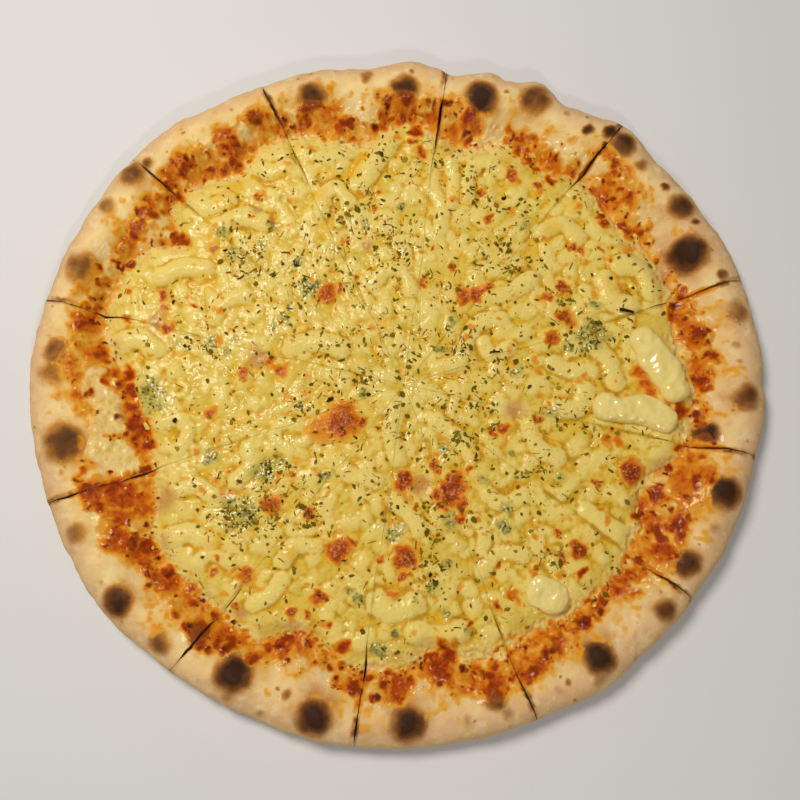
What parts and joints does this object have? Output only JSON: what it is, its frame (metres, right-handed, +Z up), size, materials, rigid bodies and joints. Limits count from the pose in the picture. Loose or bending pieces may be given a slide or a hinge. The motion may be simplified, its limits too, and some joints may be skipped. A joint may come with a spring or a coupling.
{
  "type": "four cheese pizza",
  "caption": "Whole cheese pizza with a puffed, blistered rim, a thin tomato layer and melted cheeses with dried herbs, cut into slices that still lie together.",
  "frame": {"origin": "middle of the outline's box, on the surface the pizza rests on; the cuts meet about 3 mm to +X of it", "axes": "+Z up out of the toppings, +X to the right and +Y away from the viewer as the picture shows the pizza"},
  "size_m": [0.4024, 0.3814, 0.0227],
  "materials": {
    "crust": "baked dough, pale cream to light brown, matte with dark toasted blisters",
    "sauce": "baked tomato sauce and browned cheese oil, orange to deep red, satin",
    "cheese": "melted mixed cheese, pale yellow with browned spots, glossy with oil",
    "soft_cheese": "soft cream cheese, pale yellow, smooth and glossy"
  },
  "bodies": {
    "root": {"crust_01": "crust", "crust_02": "crust", "crust_03": "crust", "crust_04": "crust", "crust_05": "crust", "crust_06": "crust", "crust_07": "crust", "crust_08": "crust", "crust_09": "crust", "crust_10": "crust", "crust_11": "crust", "crust_12": "crust", "sauce_01": "sauce", "sauce_02": "sauce", "sauce_03": "sauce", "sauce_04": "sauce", "sauce_05": "sauce", "sauce_06": "sauce", "sauce_07": "sauce", "sauce_08": "sauce", "sauce_09": "sauce", "sauce_10": "sauce", "sauce_11": "sauce", "sauce_12": "sauce", "cheese_01": "cheese", "cheese_02": "cheese", "cheese_03": "cheese", "cheese_04": "cheese", "cheese_05": "cheese", "cheese_06": "cheese", "cheese_07": "cheese", "cheese_08": "cheese", "cheese_09": "cheese", "cheese_10": "cheese", "cheese_11": "cheese", "cheese_12": "cheese", "cream_dollop_1": "soft_cheese", "cream_dollop_2": "soft_cheese", "cream_dollop_3": "soft_cheese"}
  },
  "joints": []
}
